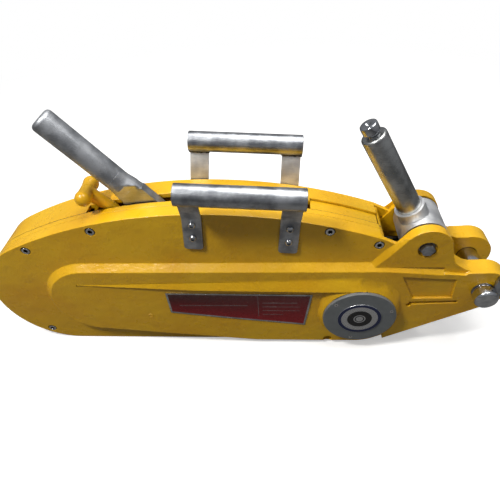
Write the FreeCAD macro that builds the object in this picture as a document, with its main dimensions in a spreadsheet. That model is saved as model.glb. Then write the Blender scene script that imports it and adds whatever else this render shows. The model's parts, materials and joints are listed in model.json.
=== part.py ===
import FreeCAD, Part
import Sketcher
import math
import os

# Lever-operated wire rope puller for a 16 mm rope. The rope runs along X, from the guide in the
# nose (-X) to the anchor clevis (+X). The casing stands on its flat bottom, z = 0, and y = 0 is
# the plane of the rope and of both levers. "Near" pieces lie at -Y and "far" ones at +Y.
# Lengths are millimetres. A depth is measured from the plane y = 0 outwards to either side.

NEAR, FAR = 1, -1
Vector = FreeCAD.Vector

doc = FreeCAD.newDocument("rope_puller")
sheet = doc.addObject("Spreadsheet::Sheet", "sizes")
row_count = 0


class Size:
    """A number together with the expression over the sheet that gives it."""

    def __init__(self, value, text):
        self.value = float(value)
        self.text = text

    def __float__(self):
        return self.value

    def join(self, other, sign, result):
        return Size(result, "({} {} {})".format(self.text, sign, text_of(other)))

    def __add__(self, other):
        return self.join(other, "+", self.value + float(other))

    def __sub__(self, other):
        return self.join(other, "-", self.value - float(other))

    def __mul__(self, other):
        return self.join(other, "*", self.value * float(other))

    def __truediv__(self, other):
        return self.join(other, "/", self.value / float(other))

    def __neg__(self):
        return Size(-self.value, "(-1 * {})".format(self.text))

    def __radd__(self, other):
        return self + other

    def __rmul__(self, other):
        return self * other

    def __rsub__(self, other):
        return -self + other

    def root(self):
        return Size(math.sqrt(self.value), "sqrt({})".format(self.text))

    def lean(self, reach):
        """Lean in degrees of an arm of this reach whose end stands this far aside."""
        return Size(math.degrees(math.asin(self.value / float(reach))),
                    "asin({} / {})".format(self.text, text_of(reach)))


def text_of(number):
    return number.text if isinstance(number, Size) else "({:.6f})".format(float(number))


def size(alias, value, note):
    """Write one driving dimension to the sheet and hand it back as a Size."""
    global row_count
    row_count += 1
    sheet.set("A{}".format(row_count), note)
    sheet.set("B{}".format(row_count), str(value))
    sheet.setAlias("B{}".format(row_count), alias)
    return Size(value, "sizes.{}".format(alias))


# ---------------------------------------------------------------- driving dimensions

# Casing outline, seen from the side.
wall = size("wall", 6, "casing wall thickness")
half_width = size("half_width", 35, "mid-plane to the outer face of a side wall")
near_seam = size("near_seam", 16.5, "depth of the seam between near shell and middle frame")
far_seam = size("far_seam", 7.5, "depth, on the near side, of the seam to the far shell")
crown_height = size("crown_height", 231, "highest point of the casing")
crown_x = size("crown_x", -50, "place of the highest point along the casing")
rope_arc = size("rope_arc", 550, "radius of the top from crown to nose")
anchor_arc = size("anchor_arc", 620, "radius of the top from crown to lever end")
nose_radius = size("nose_radius", 93, "radius of the nose")
top_end = size("top_end", 166, "where the closed top ends before the forward lever")
body_end = size("body_end", 250, "end of the side walls at the anchor side")
body_end_height = size("body_end_height", 150, "height of the side wall at its end")
slope = size("slope", 0.608, "rise per length of the underside towards the clevis")
heel_radius = size("heel_radius", 60, "radius between bottom and sloping underside")

# Shaft and pin centres in the side view.
crank_x = size("crank_x", 151, "crank shaft along the casing")
crank_height = size("crank_height", 72, "crank shaft above the bottom")
lever_x = size("lever_x", 218, "forward lever pin along the casing")
lever_height = size("lever_height", 179, "forward lever pin above the bottom")
anchor_x = size("anchor_x", 296, "anchor pin along the casing")
rope_height = size("rope_height", 114, "rope line and anchor pin above the bottom")
reverse_x = size("reverse_x", -80, "reverse lever pivot along the casing")
reverse_height = size("reverse_height", 183, "reverse lever pivot above the bottom")
release_x = size("release_x", -138, "release lever pivot along the casing")
release_height = size("release_height", 185, "release lever pivot above the bottom")

# Raised forms on the side walls.
panel_rise = size("panel_rise", 9, "how far the raised panel stands off a side wall")
panel_flank = size("panel_flank", 42, "slope of the raised panel's flank, degrees")
panel_x = size("panel_x", -200, "centre of the round end of the raised panel")
panel_height = size("panel_height", 90, "height of that centre")
panel_radius = size("panel_radius", 65, "radius of the round end at its foot")
panel_fall = size("panel_fall", 0.115, "fall per length of the panel's lower edge")
panel_dip = size("panel_dip", 7, "fall of the panel's upper edge towards the arms")
hub_rise = size("hub_rise", 7, "how far the hub stands off the raised panel")
hub_crest = size("hub_crest", 47.5, "radius of the hub at its flat face")
swell_radius = size("swell_radius", 51, "radius of the swelling that leads up to the hub")
swell_rise = size("swell_rise", 18, "that swelling's centre above the crank shaft")
hub_foot = size("hub_foot", 53, "radius of the hub at its foot")
rib_start = size("rib_start", -214, "tip of the long rib")

# Ears for the forward lever and arms for the anchor pin.
ear_radius = size("ear_radius", 28, "radius of an ear about the lever pin")
ear_inner = size("ear_inner", 27, "depth of an ear's inner face")
ear_outer = size("ear_outer", 40, "depth of an ear's outer face")
arm_radius = size("arm_radius", 31, "radius of an arm about the anchor pin")
arm_inner = size("arm_inner", 20, "depth of an arm's inner face, half the clevis gap")
arm_start = size("arm_start", 244, "where an arm reaches into the casing")

# Lever slot in the top.
slot_half = size("slot_half", 7.5, "half width of the lever slot")
slot_start = size("slot_start", -172, "rope end of the lever slot")
slot_open_end = size("slot_open_end", 85, "where the slot's cover strip starts")
strip_drop = size("strip_drop", 3, "how deep the cover strip lies below the top")
strip_thick = size("strip_thick", 4, "thickness of the cover strip")
strip_edge = size("strip_edge", 13, "depth of the cover strip's far edge")

# Fasteners.
screw_post = size("screw_post", 7.5, "radius of the posts that take the casing screws")
screw_head = size("screw_head", 5, "radius of a casing screw's head")
screw_head_high = size("screw_head_high", 5, "height of a casing screw's head")
screw_shank = size("screw_shank", 3, "radius of a casing screw's shank")
screw_inset = size("screw_inset", 10, "casing screw centre in from the outline")
screw_room = size("screw_room", 0.9, "room round a screw head in its recess")
seat_gap = size("seat_gap", 0.1, "clearance of a fixed pin in its hole")
run_gap = size("run_gap", 0.05, "radial running clearance of a shaft")
side_gap = size("side_gap", 0.5, "clearance between pieces that slide past each other")

# Carrying handles.
grip_radius = size("grip_radius", 12, "outer radius of a carrying handle's tube")
grip_wall = size("grip_wall", 2, "wall of that tube")
grip_length = size("grip_length", 136, "length of that tube")
grip_x = size("grip_x", 9, "middle of the handles along the casing")
grip_height = size("grip_height", 268, "height of the handle tubes")
grip_depth = size("grip_depth", 54, "depth of the handle tubes")
grip_tilt = size("grip_tilt", 4, "tilt of the handles, degrees")
strap_wide = size("strap_wide", 22.5, "width of a handle strap")
strap_thick = size("strap_thick", 3, "thickness of a handle strap")
strap_offset = size("strap_offset", 55.5, "strap from the middle of the handle")
strap_drop = size("strap_drop", 91, "tube centre down to a strap's lower end")
strap_bend = size("strap_bend", 44, "tube centre down to a strap's bend")
strap_screw = size("strap_screw", 4.5, "radius of a strap screw's head")

# Crank and its covers.
crank_radius = size("crank_radius", 12, "crank shaft radius")
bush_radius = size("bush_radius", 16, "outer radius of a crank bush")
cap_radius = size("cap_radius", 46.7, "radius of a hub cap")
cap_thick = size("cap_thick", 4, "thickness of a hub cap")
badge_radius = size("badge_radius", 28, "radius of the blank disc on a hub cap")
badge_thick = size("badge_thick", 1, "thickness of that disc")
rocker_reach = size("rocker_reach", 42, "crank shaft to a rocker pin")
rocker_end = size("rocker_end", 12, "radius of a rocker plate's ends")
drive_pin = size("drive_pin", 6, "radius of the pins that drive the bars")

# Sliding bars, one above and one below the crank shaft, and their jaws.
travel = size("travel", 32, "stroke of the upper and the lower bar")
bar_inner = size("bar_inner", 13, "depth of a bar's inner face")
bar_thick = size("bar_thick", 5, "thickness of a bar")
plate_inner = size("plate_inner", 19, "depth of a rocker plate's inner face")
plate_thick = size("plate_thick", 5, "thickness of a rocker plate")
rope_radius = size("rope_radius", 8.2, "radius of the rope groove in the jaws")
jaw_length = size("jaw_length", 64, "length of a jaw")
jaw_high = size("jaw_high", 21, "height of a jaw")
jaw_gap = size("jaw_gap", 0.8, "half the gap between closed jaws")
guide_bore = size("guide_bore", 9, "bore radius of the rope guide")
guide_radius = size("guide_radius", 14, "outer radius of the rope guide")

# Levers.
lever_pin_radius = size("lever_pin_radius", 9, "forward lever pin radius")
lever_tail = size("lever_tail", 32, "lever pin to its drive pin")
lever_hub = size("lever_hub", 27, "radius of the forward lever's hub")
lever_hub_half = size("lever_hub_half", 24, "half width of the forward lever's hub")
shank_radius = size("shank_radius", 14, "radius of both lever shanks")
shank_top = size("shank_top", 145, "lever pin to the shoulder of the shank")
knob_radius = size("knob_radius", 9.5, "radius of the locking knob")
reverse_lean = size("reverse_lean", 38.3, "reverse lever's lean at rest, degrees")
reverse_tail = size("reverse_tail", 35, "reverse pivot to its drive pin")
reverse_pin_radius = size("reverse_pin_radius", 8, "reverse lever pivot radius")
blade_half = size("blade_half", 6, "half thickness of the flat of a slotted lever")
blade_wide = size("blade_wide", 34, "width of the reverse lever's blade")
tube_start = size("tube_start", 90.5, "reverse pivot to the foot of its tube")
tube_length = size("tube_length", 102, "length of the reverse lever's tube")
release_lean = size("release_lean", 34.9, "release lever's lean at rest, degrees")
release_reach = size("release_reach", 68, "release pivot to its knob")
release_pin_radius = size("release_pin_radius", 5, "release pivot radius")

# Anchor pin.
anchor_pin_radius = size("anchor_pin_radius", 12.5, "anchor pin radius")
anchor_neck = size("anchor_neck", 10.5, "radius of the keeper groove in the anchor pin")
anchor_head = size("anchor_head", 14, "radius of the anchor pin's head")
keeper_thick = size("keeper_thick", 4, "thickness of the keeper")

doc.recompute()

panel_face = half_width + panel_rise
hub_face = panel_face + hub_rise
half_travel = travel / 2
rocker_angle = half_travel.lean(rocker_reach)
lever_lean = half_travel.lean(lever_tail)
rope_arc_z = crown_height - rope_arc
anchor_arc_z = crown_height - anchor_arc


# ---------------------------------------------------------------- helpers

parts = []


def keep(obj, label):
    """Name a finished sub-part; its label is the name of its file."""
    obj.Label = label
    parts.append(obj)
    return obj


def bind(obj, prop, number):
    obj.setExpression(prop, text_of(number))


def plane(body, role):
    for feature in body.Origin.OriginFeatures:
        if feature.Role == role:
            return feature
    raise ValueError(role)


def new_body(name):
    return doc.addObject("PartDesign::Body", name + "_body")


def sketch_on(body, role, offset):
    """A sketch parallel to an origin plane, moved along its normal by offset."""
    sketch = body.newObject("Sketcher::SketchObject", "outline")
    sketch.AttachmentSupport = [(plane(body, role), "")]
    sketch.MapMode = "FlatFace"
    bind(sketch, "AttachmentOffset.Base.z", offset)
    return sketch


def side_sketch(body, side, depth):
    """A sketch in the side view at a depth; the XZ plane's normal points to -Y."""
    offset = depth if side == NEAR else -depth
    return sketch_on(body, "XZ_Plane", offset)


def pin_down(sketch, geometry, position, point):
    """Fix one end of a sketch line or arc at a point given by two sizes."""
    for kind, number in zip(("DistanceX", "DistanceY"), point):
        index = sketch.addConstraint(
            Sketcher.Constraint(kind, -1, 1, geometry, position, float(number)))
        if isinstance(number, Size):
            sketch.setExpression("Constraints[{}]".format(index), number.text)


def draw(sketch, start, steps):
    """A closed outline. A step is (end,) for a line, or (end, radius, bulge) for an arc.

    The bulge is +1 where the arc turns left along the way and -1 where it turns right."""
    here = start
    for step in steps:
        end = step[0]
        a = Vector(float(here[0]), float(here[1]), 0)
        b = Vector(float(end[0]), float(end[1]), 0)
        if len(step) == 1:
            geometry = sketch.addGeometry(Part.LineSegment(a, b))
            pin_down(sketch, geometry, 1, here)
            pin_down(sketch, geometry, 2, end)
        else:
            radius, bulge = float(step[1]), step[2]
            chord = b - a
            half = chord.Length / 2
            rise = math.sqrt(max(radius * radius - half * half, 0))
            left = Vector(-chord.y, chord.x, 0).normalize()
            middle = (a + b) / 2 - left * (bulge * (radius - rise))
            geometry = sketch.addGeometry(Part.Arc(a, middle, b))
            ends = (1, 2) if bulge > 0 else (2, 1)
            pin_down(sketch, geometry, ends[0], here)
            pin_down(sketch, geometry, ends[1], end)
            if isinstance(step[1], Size) and rise > 1e-6:
                index = sketch.addConstraint(Sketcher.Constraint("Radius", geometry, radius))
                sketch.setExpression("Constraints[{}]".format(index), step[1].text)
        here = end
    return sketch


def circles(sketch, centres, radius):
    """Equal circles about points of the sketch."""
    for centre in centres:
        middle = Vector(float(centre[0]), float(centre[1]), 0)
        geometry = sketch.addGeometry(Part.Circle(middle, Vector(0, 0, 1), float(radius)))
        pin_down(sketch, geometry, 3, centre)
        index = sketch.addConstraint(Sketcher.Constraint("Radius", geometry, float(radius)))
        sketch.setExpression("Constraints[{}]".format(index), text_of(radius))
    return sketch


def pad(body, sketch, side, length, flank=None):
    """Raise a side-view sketch outwards; flank is its draft from the straight wall."""
    feature = body.newObject("PartDesign::Pad", "pad")
    feature.Profile = sketch
    feature.Reversed = side == FAR
    bind(feature, "Length", length)
    if flank is not None:
        bind(feature, "TaperAngle", -flank)
    return feature


def pocket(body, sketch, side, length):
    """Cut a side-view sketch outwards, and make sure that it removes something."""
    doc.recompute()
    before = body.Shape.Volume
    feature = body.newObject("PartDesign::Pocket", "pocket")
    feature.Profile = sketch
    feature.Reversed = side == NEAR
    bind(feature, "Length", length)
    doc.recompute()
    if body.Shape.Volume > before - 1e-3:
        raise ValueError("{} cuts nothing in {}".format(feature.Name, body.Label))
    return feature


def boss(body, side, centres, radius, depth, length, flank=None):
    """Raise equal round bosses, all from one depth."""
    sketch = circles(side_sketch(body, side, depth), centres, radius)
    return pad(body, sketch, side, length, flank)


def bore(body, side, centres, radius, depth, length):
    """Cut equal round holes, all from one depth."""
    sketch = circles(side_sketch(body, side, depth), centres, radius)
    return pocket(body, sketch, side, length)


def place(obj, x, y, z, axis=None, angle=0):
    """Bind an object's place, and turn it about an axis by an angle in degrees."""
    if axis is not None:
        obj.Placement = FreeCAD.Placement(Vector(), FreeCAD.Rotation(axis, float(angle)))
        if isinstance(angle, Size):
            bind(obj, "Placement.Rotation.Angle", angle)
    bind(obj, "Placement.Base.x", x)
    bind(obj, "Placement.Base.y", y)
    bind(obj, "Placement.Base.z", z)
    return obj


def outwards(obj, side, centre, depth):
    """Stand a primitive made along Z at a depth, pointing away from the mid-plane."""
    y = -depth if side == NEAR else depth
    return place(obj, centre[0], y, centre[1], Vector(1, 0, 0), 90 * side)


def cylinder(radius, height):
    obj = doc.addObject("Part::Cylinder", "round")
    bind(obj, "Radius", radius)
    bind(obj, "Height", height)
    return obj


def rod(radius, depth, length, centre, side=NEAR):
    """A round bar across the casing, from a depth outwards."""
    return outwards(cylinder(radius, length), side, centre, depth)


def box(x, y, z, long, wide, high):
    obj = doc.addObject("Part::Box", "block")
    bind(obj, "Length", long)
    bind(obj, "Width", wide)
    bind(obj, "Height", high)
    return place(obj, x, y, z)


def cut(base, *tools):
    for tool in tools:
        obj = doc.addObject("Part::Cut", "cut")
        obj.Base = base
        obj.Tool = tool
        obj.Refine = False
        base = obj
    return base


def fuse(*shapes):
    obj = doc.addObject("Part::MultiFuse", "joined")
    obj.Shapes = list(shapes)
    return obj


def group(*shapes):
    """Several separate solids kept as one sub-part."""
    obj = doc.addObject("Part::Compound", "set")
    obj.Links = list(shapes)
    return obj


def turned(name, profile):
    """A turned piece about its own Z axis; the profile lists (radius, height) upwards."""
    body = new_body(name)
    sketch = sketch_on(body, "XZ_Plane", 0)
    points = [(0, profile[0][1])] + list(profile) + [(0, profile[-1][1])]
    points = [p for i, p in enumerate(points) if i == 0 or
              abs(float(p[0]) - float(points[i - 1][0])) > 1e-9 or
              abs(float(p[1]) - float(points[i - 1][1])) > 1e-9]
    draw(sketch, points[0], [(p,) for p in points[1:]] + [(points[0],)])
    feature = body.newObject("PartDesign::Revolution", "turn")
    feature.Profile = sketch
    feature.ReferenceAxis = (sketch, ["V_Axis"])
    feature.Angle = 360
    return body


def flat_plate(name, side, depth, thick, start, steps):
    """A plate cut to an outline in the side view."""
    body = new_body(name)
    pad(body, draw(side_sketch(body, side, depth), start, steps), side, thick)
    return body


def round_edges(body, radius, choose):
    """Round the edges of the finished body that the choice picks."""
    doc.recompute()
    names = ["Edge{}".format(i + 1) for i, e in enumerate(body.Shape.Edges) if choose(e)]
    base = body.Tip
    feature = body.newObject("PartDesign::Fillet", "rounding")
    feature.Base = (base, names)
    bind(feature, "Radius", radius)
    return feature


# ---------------------------------------------------------------- casing outline

one = Size(1, "1")
crank = (crank_x, crank_height)
lever_axis = (lever_x, lever_height)
anchor = (anchor_x, rope_height)
reverse_axis = (reverse_x, reverse_height)
release_axis = (release_x, release_height)

# The nose is tangent to the bottom and to the rope-side arc of the top.
nose_reach = ((rope_arc - nose_radius) * (rope_arc - nose_radius)
              - (nose_radius - rope_arc_z) * (nose_radius - rope_arc_z)).root()
nose_x = crown_x - nose_reach

# The sloping underside is tangent to the arms' round ends and meets the bottom at the heel.
run = (slope * slope + 1).root()
sine = slope / run
cosine = one / run
arm_touch = (anchor_x + arm_radius * sine, rope_height - arm_radius * cosine)
foot_x = arm_touch[0] - arm_touch[1] / slope
heel_length = heel_radius * (one - cosine) / sine
heel_start = foot_x - heel_length
heel_end = foot_x + heel_length * cosine


def underside(x, inset=0):
    """Height of the sloping underside at x, or of its inner face."""
    return (x - foot_x) * slope + run * inset


def top_point(x, drop=0):
    """Point of the lever-side arc of the top at x, or of an arc inside it."""
    radius = anchor_arc - drop
    return (x, anchor_arc_z + (radius * radius - (x - crown_x) * (x - crown_x)).root())


def rope_top_point(x, drop=0):
    """The same on the rope-side arc of the top."""
    radius = rope_arc - drop
    return (x, rope_arc_z + (radius * radius - (x - crown_x) * (x - crown_x)).root())


def nose_touch(inset=0):
    """Where the nose joins the rope-side arc."""
    share = (rope_arc - inset) / (rope_arc - nose_radius)
    return (crown_x + (nose_x - crown_x) * share,
            rope_arc_z + (nose_radius - rope_arc_z) * share)


def nose_point(inset, degrees):
    """A point inside the nose, at an angle from its centre."""
    reach = nose_radius - inset
    angle = math.radians(degrees)
    return (nose_x + reach * math.cos(angle), nose_radius + reach * math.sin(angle))


OUTER_START = (nose_x, 0)
OUTER = [
    ((heel_start, 0),),
    ((heel_end, underside(heel_end)), heel_radius, 1),
    ((body_end, underside(body_end)),),
    ((body_end, body_end_height),),
    (top_point(top_end),),
    ((crown_x, crown_height), anchor_arc, 1),
    (nose_touch(), rope_arc, 1),
    (OUTER_START, nose_radius, 1),
]

open_end = body_end + 20
open_top = crown_height + 10
heel_inner = heel_end - sine * wall
INNER_START = (nose_x, wall)
INNER = [
    ((heel_start, wall),),
    ((heel_inner, underside(heel_end) + cosine * wall), heel_radius - wall, 1),
    ((open_end, underside(open_end, wall)),),
    ((open_end, open_top),),
    ((top_end, open_top),),
    (top_point(top_end, wall),),
    ((crown_x, crown_height - wall), anchor_arc - wall, 1),
    (nose_touch(wall), rope_arc - wall, 1),
    (INNER_START, nose_radius - wall, 1),
]

# Centres of the casing screws, each the same way in from the outline.
BOTTOM_SCREW_PLACES = (-80, 115)
SCREWS = [rope_top_point(size("screw_nose_x", -264, "casing screw at the nose"), screw_inset),
          rope_top_point(size("screw_rope_x", -173, "casing screw on the rope side"), screw_inset),
          top_point(size("screw_grip_x", 106, "casing screw beside the handle"), screw_post),
          top_point(size("screw_valley_x", 164, "casing screw at the valley"), screw_inset),
          nose_point(screw_inset, 241)]
for number, place_x in enumerate(BOTTOM_SCREW_PLACES):
    SCREWS.append((size("screw_base{}_x".format("ab"[number]), place_x, "casing screw at the bottom"),
                   screw_inset + 1))

panel_top = panel_height + panel_radius
panel_run = (panel_fall * panel_fall + 1).root()
panel_low = (panel_x - panel_radius * panel_fall / panel_run,
             panel_height - panel_radius / panel_run)
panel_end = arm_start + 12
PANEL_DIP_START = crank_x + 27
PANEL = [
    ((panel_low[0] + panel_low[1] / panel_fall, 0),),
    ((heel_start, 0),),
    ((heel_end, underside(heel_end)), heel_radius, 1),
    ((panel_end, underside(panel_end)),),
    ((panel_end, panel_top - panel_dip),),
    ((PANEL_DIP_START, panel_top),),
    ((panel_x, panel_top),),
    (panel_low, panel_radius, 1),
]


# The ears stand off the wall; a sloping ramp joins each one's flank to the wall.
def on_ear(degrees):
    """A point of an ear's round end, at an angle from the lever pin."""
    angle = math.radians(degrees)
    return (lever_x + ear_radius * math.cos(angle), lever_height + ear_radius * math.sin(angle))


ear_foot = lever_height - ear_radius - 1
EAR_FLANK = ((lever_x - ear_radius * 2, ear_foot),
             (lever_x - ear_radius - 11, lever_height - 7), on_ear(142))
RAMP_WIDE = 9
EAR_BACK = ((lever_x - 20, ear_foot), (lever_x - 10, lever_height + 12))
EAR_FOOT = ((EAR_FLANK[0][0] - RAMP_WIDE, ear_foot), EAR_BACK[0], EAR_BACK[1],
            (EAR_FLANK[2][0] - RAMP_WIDE + 1, EAR_FLANK[2][1] - 4),
            (EAR_FLANK[1][0] - RAMP_WIDE, EAR_FLANK[1][1] + 3))
EAR = [
    ((panel_end, ear_foot),),
    ((panel_end, ear_foot + 5),),
    ((lever_x + ear_radius + 5, lever_height - ear_radius / 2),),
    (on_ear(20),),
    (EAR_FLANK[2], ear_radius, 1),
    (EAR_FLANK[1],),
    (EAR_FLANK[0],),
]

# The arms are thick; a thinner web leads from them up to the ears.
ARM_START = (arm_start, underside(arm_start))
arm_top_x = arm_radius / 5
ARM = [
    (arm_touch,),
    ((anchor_x - arm_top_x,
      rope_height + (arm_radius * arm_radius - arm_top_x * arm_top_x).root()), arm_radius, 1),
    ((anchor_x - 23, rope_height + arm_radius - 1),),
    ((anchor_x - 27, rope_height + arm_radius - 4),),
    ((arm_start, rope_height + arm_radius - 2),),
    (ARM_START,),
]
WEB_START = (arm_start, rope_height)
WEB = [
    ((anchor_x - 10, rope_height),),
    ((anchor_x - 10, rope_height + arm_radius - 4),),
    ((anchor_x - 27, rope_height + arm_radius + 1.5),),
    ((anchor_x - 38, rope_height + arm_radius + 9.5),),
    ((arm_start, lever_height - 12),),
    (WEB_START,),
]
skirt_x = crank_x + 39
SKIRT_START = (skirt_x, underside(skirt_x))
SKIRT = [
    ((panel_end, underside(panel_end)),),
    ((panel_end, rope_height),),
    ((skirt_x, crank_height - 12),),
    (SKIRT_START,),
]

# Sunk window in each arm, and the small hole and groove under it.
WINDOW_START = (anchor_x - 99, rope_height + 23.5)
WINDOW = [
    ((anchor_x - 81, rope_height - 15.5),),
    ((anchor_x - 33, rope_height - 14),),
    ((anchor_x - 35, rope_height + 19),),
    (WINDOW_START,),
]
window_hole = (anchor_x - 83, crank_height + 14)
GROOVE_START = (window_hole[0], crank_height + 15)
GROOVE = [
    ((anchor_x - 24, crank_height + 18.5),),
    ((anchor_x - 25, crank_height + 22.5),),
    ((window_hole[0], crank_height + 20),),
    (GROOVE_START,),
]

slot_cut_low = reverse_height - 5
SLOT_START = (slot_start - 12, slot_cut_low)
SLOT = [
    ((top_end + 1, slot_cut_low),),
    ((top_end + 1, open_top),),
    ((slot_start - 12, open_top),),
    (SLOT_START,),
]
COVER_START = (slot_open_end, slot_cut_low)
COVER = [
    ((top_end + 1, slot_cut_low),),
    ((top_end + 1, open_top),),
    ((slot_open_end, open_top),),
    (COVER_START,),
]


# The keeper hangs from its screw beside the groove of the anchor pin.
keeper_wide = size("keeper_wide", 10.4, "width of the keeper")
keeper_long = size("keeper_long", 36, "keeper screw to the keeper's lower end")
keeper_shank = size("keeper_shank", 2.5, "radius of the keeper screw")
KEEPER_THREAD = 8
half_keeper = keeper_wide / 2
keeper_axis = (anchor_x + anchor_neck + 0.3 + half_keeper, rope_height + 22)


# ---------------------------------------------------------------- casing

PIVOT_SEAT = 3
HEAD_SINK = 4
pivot_depth = slot_half + side_gap
wall_inner = half_width - wall


# The long rib from its tip to the hub: place, how far its crest stands off the raised panel,
# then the heights of its upper foot, its crest and its lower foot. It ends inside the hub.
RIB = (
    (rib_start, 0.4, rope_height + 12, rope_height + 9.5, rope_height + 8),
    (crank_x - 211, hub_rise * 0.55, rope_height + 17, rope_height + 3.5, rope_height - 1),
    (crank_x - 51, hub_rise, rope_height + 24.5, rope_height + 3.5, rope_height - 5),
    (crank_x, hub_rise, crank_height + swell_rise + swell_radius, crank_height + hub_crest - 2,
     crank_height + hub_crest - 10),
)
SUNK = 1            # how deep the foot of a raised form goes into the metal behind it
SWELL_INSET = 0.4   # front of the swelling inside the hub's front
WINDOW_DEEP = 3     # depth of the sunk window and groove
HOLE_DEEP = 6       # depth of the small hole


def rib_section(body, side, x, rise, top, crest, foot):
    """Triangle across the long rib."""
    sketch = sketch_on(body, "YZ_Plane", x)
    base = (panel_face - SUNK) * -side
    tip = (panel_face + rise) * -side
    draw(sketch, (base, top), [((tip, crest),), ((base, foot),), ((base, top),)])
    return sketch


def shell(name, side, seam):
    """One cast half of the casing with everything that is cast on it."""
    body = new_body(name)
    pad(body, draw(side_sketch(body, side, seam), OUTER_START, OUTER), side, half_width - seam)
    pocket(body, draw(side_sketch(body, side, seam), INNER_START, INNER), side, wall_inner - seam)
    boss(body, side, SCREWS, screw_post, seam, wall_inner - seam)
    for axis, radius in ((reverse_axis, reverse_pin_radius + 6),
                         (release_axis, release_pin_radius + 6)):
        boss(body, side, [axis], radius, pivot_depth, wall_inner - pivot_depth)

    pad(body, draw(side_sketch(body, side, half_width), panel_low, PANEL), side,
        panel_rise, panel_flank)
    for foot, centre, front in (
            (hub_foot, crank_height, hub_crest),
            (swell_radius, crank_height + swell_rise, hub_crest - SWELL_INSET)):
        hub = body.newObject("PartDesign::AdditiveLoft", "hub")
        hub.Profile = circles(side_sketch(body, side, panel_face - SUNK), [(crank_x, centre)],
                              foot)
        hub.Sections = [circles(side_sketch(body, side, hub_face), [crank], front)]
        hub.Ruled = True
    rib = body.newObject("PartDesign::AdditiveLoft", "long_rib")
    rib.Profile, *rib.Sections = [rib_section(body, side, *heights) for heights in RIB]
    rib.Ruled = True

    pad(body, draw(side_sketch(body, side, ear_inner), EAR_FLANK[0], EAR), side,
        ear_outer - ear_inner)
    pad(body, draw(side_sketch(body, side, arm_inner), WEB_START, WEB), side,
        ear_outer - arm_inner)
    pad(body, draw(side_sketch(body, side, arm_inner), ARM_START, ARM), side,
        panel_face - arm_inner)
    pad(body, draw(side_sketch(body, side, half_width), SKIRT_START, SKIRT), side, panel_rise)
    ramp = body.newObject("PartDesign::AdditiveLoft", "ear_ramp")
    ramp.Profile = draw(side_sketch(body, side, half_width - SUNK), EAR_FOOT[0], [
        (point,) for point in EAR_FOOT[1:] + EAR_FOOT[:1]])
    ramp.Sections = [draw(side_sketch(body, side, ear_outer), EAR_FLANK[0], [
        (point,) for point in (EAR_BACK[0], EAR_BACK[1]) + EAR_FLANK[2:0:-1] + EAR_FLANK[:1]])]
    ramp.Ruled = True
    for start, outline in ((WINDOW_START, WINDOW), (GROOVE_START, GROOVE)):
        pocket(body, draw(side_sketch(body, side, panel_face - WINDOW_DEEP), start, outline),
               side, WINDOW_DEEP + 1)
    bore(body, side, [window_hole], 3, panel_face - HOLE_DEEP, HOLE_DEEP + 1)

    bore(body, side, [crank], bush_radius, wall_inner - 1, hub_face - wall_inner + 2)
    bore(body, side, [lever_axis], lever_pin_radius + seat_gap, ear_inner - 1,
         ear_outer - ear_inner + 2)
    bore(body, side, [lever_axis], lever_pin_radius + 2, ear_outer - HEAD_SINK, HEAD_SINK + 1)
    bore(body, side, [anchor], anchor_pin_radius + seat_gap, arm_inner - 1,
         panel_face - arm_inner + 2)
    for axis, radius in ((reverse_axis, reverse_pin_radius), (release_axis, release_pin_radius)):
        bore(body, side, [axis], radius, pivot_depth - 1,
             wall_inner - pivot_depth + 1 + PIVOT_SEAT)
    bore(body, side, SCREWS, screw_shank, seam, half_width - seam)
    bore(body, side, SCREWS, screw_head + screw_room, half_width - screw_head_high,
         screw_head_high + panel_rise + 1)
    return body


near_shell = shell("near_shell", NEAR, near_seam)
far_shell = shell("far_shell", FAR, -far_seam)
pocket(far_shell, draw(side_sketch(far_shell, FAR, -far_seam), SLOT_START, SLOT), FAR,
       far_seam + slot_half)
pocket(far_shell, draw(side_sketch(far_shell, FAR, slot_half), COVER_START, COVER), FAR,
       strip_edge - slot_half)

bore(near_shell, NEAR, [keeper_axis], keeper_shank, panel_face - KEEPER_THREAD,
     KEEPER_THREAD + 1)

middle_frame = new_body("middle_frame")
frame_thick = near_seam - far_seam
pad(middle_frame, draw(side_sketch(middle_frame, NEAR, far_seam), OUTER_START, OUTER), NEAR,
    frame_thick)
pocket(middle_frame, draw(side_sketch(middle_frame, NEAR, far_seam), INNER_START, INNER), NEAR,
       frame_thick)
boss(middle_frame, NEAR, SCREWS, screw_post, far_seam, frame_thick)
bore(middle_frame, NEAR, SCREWS, screw_shank, far_seam, frame_thick)

# Bush that guides the rope through the tip of the nose.
guide_long = size("guide_long", 20, "length of the rope guide")


def guide_round(radius):
    return place(cylinder(radius, guide_long), nose_x - nose_radius, 0, rope_height,
                 Vector(0, 1, 0), 90)


keep(near_shell, "near_shell")
keep(cut(far_shell, guide_round(guide_radius)), "far_shell")
keep(cut(middle_frame, guide_round(guide_radius)), "middle_frame")
keep(cut(guide_round(guide_radius), guide_round(guide_bore)), "rope_guide")

strip_low = strip_drop + strip_thick
slot_cover = flat_plate(
    "slot_cover", FAR, -far_seam, far_seam + strip_edge, top_point(slot_open_end, strip_low),
    [(top_point(top_end, strip_low), anchor_arc - strip_low, -1),
     (top_point(top_end, strip_drop),),
     (top_point(slot_open_end, strip_drop), anchor_arc - strip_drop, 1),
     (top_point(slot_open_end, strip_low),)])
keep(slot_cover, "slot_cover")


# ---------------------------------------------------------------- fasteners and covers

def socket_screw(point, side, depth, head_radius, head_high, shank, shank_long, key):
    """Cap screw with a hexagon socket; the depth is that of its head's underside."""
    head = rod(head_radius, depth, head_high, point, side)
    thread = rod(shank, depth - shank_long, shank_long, point, side)
    socket = doc.addObject("Part::Prism", "socket")
    socket.Polygon = 6
    bind(socket, "Circumradius", key)
    bind(socket, "Height", head_high)
    outwards(socket, side, point, depth + head_high * 0.5)
    return cut(fuse(head, thread), socket)


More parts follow.
